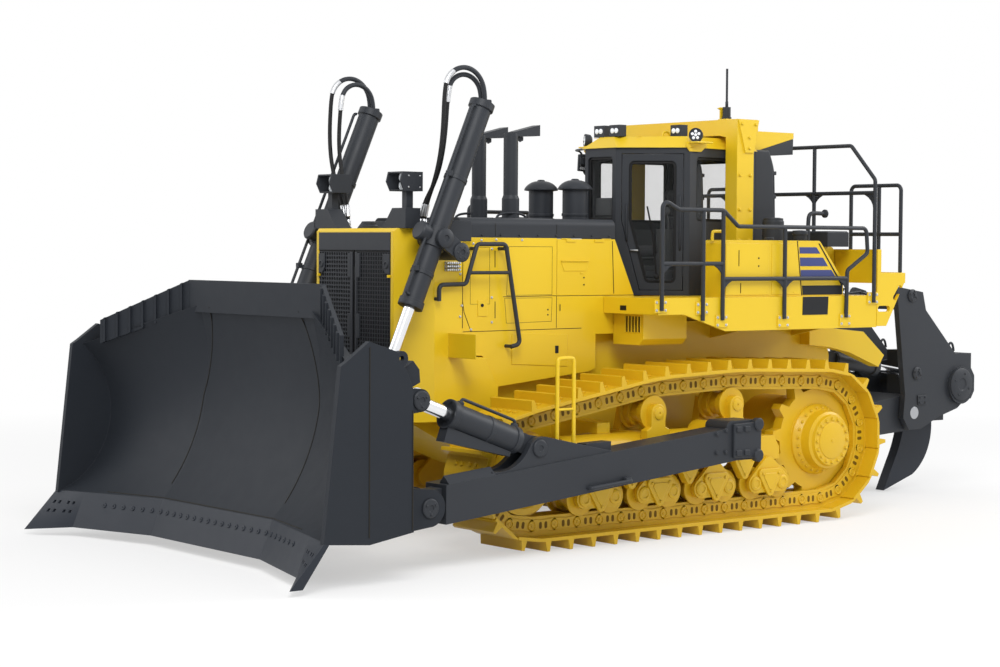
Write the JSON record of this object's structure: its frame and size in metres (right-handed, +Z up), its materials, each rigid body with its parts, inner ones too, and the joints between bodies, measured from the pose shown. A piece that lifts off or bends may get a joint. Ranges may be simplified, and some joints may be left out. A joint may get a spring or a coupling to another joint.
{
  "type": "crawler bulldozer",
  "caption": "Large crawler bulldozer with a semi-U blade on push arms, lift and brace cylinders, a cab under a roll-over frame and a rear single-shank ripper.",
  "frame": {"origin": "ground plane at the tips of the track shoes, under the middle of the machine between blade and ripper", "axes": "+X forward to the blade, +Y to the operator left, +Z up"},
  "size_m": [10.895, 4.695, 4.69],
  "materials": {
    "yellow": "gloss paint",
    "charcoal": "satin paint",
    "undercarriage": "gloss paint",
    "track_steel": "satin paint",
    "wear_steel": "dark satin",
    "pin_steel": "ground",
    "engine_iron": "rough",
    "chrome": "polished",
    "glass": "tinted",
    "cab_trim": "matte",
    "hose": "matte"
  },
  "bodies": {
    "tractor": {"antenna": "charcoal", "bogies": "undercarriage", "cab_frame": "charcoal", "cab_glass": "glass", "cab_roof": "yellow", "carrier_rollers": "undercarriage", "control_console": "cab_trim", "engine": "engine_iron", "exhaust_stacks": "charcoal", "fender_left": "yellow", "fender_right": "yellow", "front_lamps": "charcoal", "fuel_tank": "yellow", "handrails": "charcoal", "hood": "charcoal", "idlers": "undercarriage", "lift_hose_left_1": "hose", "lift_hose_left_2": "hose", "lift_hose_right_1": "hose", "lift_hose_right_2": "hose", "lift_yokes": "charcoal", "main_frame": "yellow", "operator_seat": "cab_trim", "precleaners": "charcoal", "radiator_guard": "yellow", "rear_locker": "charcoal", "rear_platforms": "yellow", "ripper_bracket": "yellow", "rops": "yellow", "side_panels": "yellow", "side_tank_left": "yellow", "side_tank_right": "yellow", "sprockets": "undercarriage", "track_frames": "undercarriage", "track_left": "track_steel", "track_right": "track_steel", "work_lamps": "charcoal"},
    "push_frame": {"push_arms": "charcoal"},
    "blade_body": {"blade": "charcoal", "cutting_edges": "wear_steel"},
    "lift_barrels": {"lift_cylinders": "charcoal"},
    "lift_pistons": {"lift_rods": "chrome"},
    "brace_barrels": {"brace_cylinders": "charcoal"},
    "brace_pistons": {"brace_rods": "chrome"},
    "ripper_frame": {"ripper_arm": "charcoal"},
    "ripper_knuckle": {"ripper_pin": "pin_steel"},
    "ripper_head": {"ripper_beam": "charcoal", "ripper_shank": "wear_steel"},
    "ripper_lift_barrels": {"ripper_lift_cylinders": "charcoal"},
    "ripper_lift_pistons": {"ripper_lift_rods": "chrome"},
    "ripper_tilt_barrels": {"ripper_tilt_cylinders": "charcoal"},
    "ripper_tilt_pistons": {"ripper_tilt_rods": "chrome"},
    "grille_leaf_left": {"grille_door_left": "charcoal"},
    "cover_leaf_left": {"engine_cover_left": "yellow"},
    "door_leaf_left": {"cab_door_left": "charcoal", "door_glass_left": "glass"},
    "grille_leaf_right": {"grille_door_right": "charcoal"},
    "cover_leaf_right": {"engine_cover_right": "yellow"},
    "door_leaf_right": {"cab_door_right": "charcoal", "door_glass_right": "glass"}
  },
  "joints": [
    {"name": "blade_lift", "type": "hinge", "parent": "tractor", "child": "push_frame", "pos_m": [-0.1025, 0, 0.955], "axis": [0, -1, 0], "range_deg": [-8, 20]},
    {"name": "blade_pitch", "type": "hinge", "parent": "push_frame", "child": "blade_body", "pos_m": [3.7405, 0, 0.558], "axis": [0, 1, 0], "range_deg": [-6, 6]},
    {"name": "lift_swing", "type": "hinge", "parent": "tractor", "child": "lift_barrels", "pos_m": [2.9265, 0, 2.894], "axis": [0, -1, 0], "range_deg": [-7.16, 17.89], "deforming": ["lift_hose_left_1", "lift_hose_left_2", "lift_hose_right_1", "lift_hose_right_2"]},
    {"name": "lift_stroke", "type": "slide", "parent": "lift_barrels", "child": "lift_pistons", "axis": [0.4008, 0, -0.9162], "range_m": [-1.2736, 0.5095]},
    {"name": "brace_swing", "type": "hinge", "parent": "push_frame", "child": "brace_barrels", "pos_m": [2.4975, 0, 1.01], "axis": [0, -1, 0], "range_deg": [-1.73, 1.73]},
    {"name": "brace_stroke", "type": "slide", "parent": "brace_barrels", "child": "brace_pistons", "axis": [0.9397, 0, 0.342], "range_m": [-0.09083, 0.09083]},
    {"name": "ripper_lift", "type": "hinge", "parent": "tractor", "child": "ripper_frame", "pos_m": [-2.6075, 0, 0.8], "axis": [0, 1, 0], "range_deg": [-40, 32]},
    {"name": "ripper_level", "type": "hinge", "parent": "ripper_frame", "child": "ripper_knuckle", "pos_m": [-4.2075, 0, 0.95], "axis": [0, -1, 0], "range_deg": [-41, 33]},
    {"name": "ripper_tilt", "type": "hinge", "parent": "ripper_knuckle", "child": "ripper_head", "pos_m": [-4.2075, 0, 0.95], "axis": [0, -1, 0], "range_deg": [-12, 12]},
    {"name": "ripper_lift_swing", "type": "hinge", "parent": "tractor", "child": "ripper_lift_barrels", "pos_m": [-2.6875, 0, 1.64], "axis": [0, -1, 0], "range_deg": [-31.88, 39.85]},
    {"name": "ripper_lift_stroke", "type": "slide", "parent": "ripper_lift_barrels", "child": "ripper_lift_pistons", "axis": [-0.9882, 0, -0.153], "range_m": [-0.21509, 0.26884]},
    {"name": "ripper_tilt_swing", "type": "hinge", "parent": "tractor", "child": "ripper_tilt_barrels", "pos_m": [-2.5375, 0, 2.14], "axis": [0, 1, 0], "range_deg": [-41, 33]},
    {"name": "ripper_tilt_stroke", "type": "slide", "parent": "ripper_tilt_barrels", "child": "ripper_tilt_pistons", "axis": [-0.9956, 0, 0.0933], "range_m": [-0.28354, 0.28354]},
    {"name": "grille_left", "type": "hinge", "parent": "tractor", "child": "grille_leaf_left", "pos_m": [3.1935, 0.008, 2.051], "axis": [0, 0, 1], "range_deg": [-85, 0]},
    {"name": "cover_left", "type": "hinge", "parent": "tractor", "child": "cover_leaf_left", "pos_m": [0.9025, 0.7, 2.899], "axis": [1, 0, 0], "range_deg": [0, 75]},
    {"name": "door_left", "type": "hinge", "parent": "tractor", "child": "door_leaf_left", "pos_m": [-0.36216, 0.74204, 2.93], "axis": [0, 0, 1], "range_deg": [0, 84]},
    {"name": "grille_right", "type": "hinge", "parent": "tractor", "child": "grille_leaf_right", "pos_m": [3.1935, -0.008, 2.051], "axis": [0, 0, -1], "range_deg": [-85, 0]},
    {"name": "cover_right", "type": "hinge", "parent": "tractor", "child": "cover_leaf_right", "pos_m": [0.9025, -0.7, 2.899], "axis": [-1, 0, 0], "range_deg": [0, 75]},
    {"name": "door_right", "type": "hinge", "parent": "tractor", "child": "door_leaf_right", "pos_m": [-0.36216, -0.74204, 2.93], "axis": [0, 0, -1], "range_deg": [0, 84]}
  ],
  "couplings": [
    {"joint": "lift_swing", "follows": "blade_lift", "ratio": 0.8769},
    {"joint": "lift_stroke", "follows": "blade_lift", "m_per_rad": -3.5768},
    {"joint": "brace_swing", "follows": "blade_pitch", "ratio": -0.28325},
    {"joint": "brace_stroke", "follows": "blade_pitch", "m_per_rad": 0.84942},
    {"joint": "ripper_level", "follows": "ripper_lift", "ratio": 1},
    {"joint": "ripper_lift_swing", "follows": "ripper_lift", "ratio": -0.97682},
    {"joint": "ripper_lift_stroke", "follows": "ripper_lift", "m_per_rad": -0.3774},
    {"joint": "ripper_tilt_swing", "follows": "ripper_lift", "ratio": 1},
    {"joint": "ripper_tilt_stroke", "follows": "ripper_tilt", "m_per_rad": 1.3268}
  ]
}
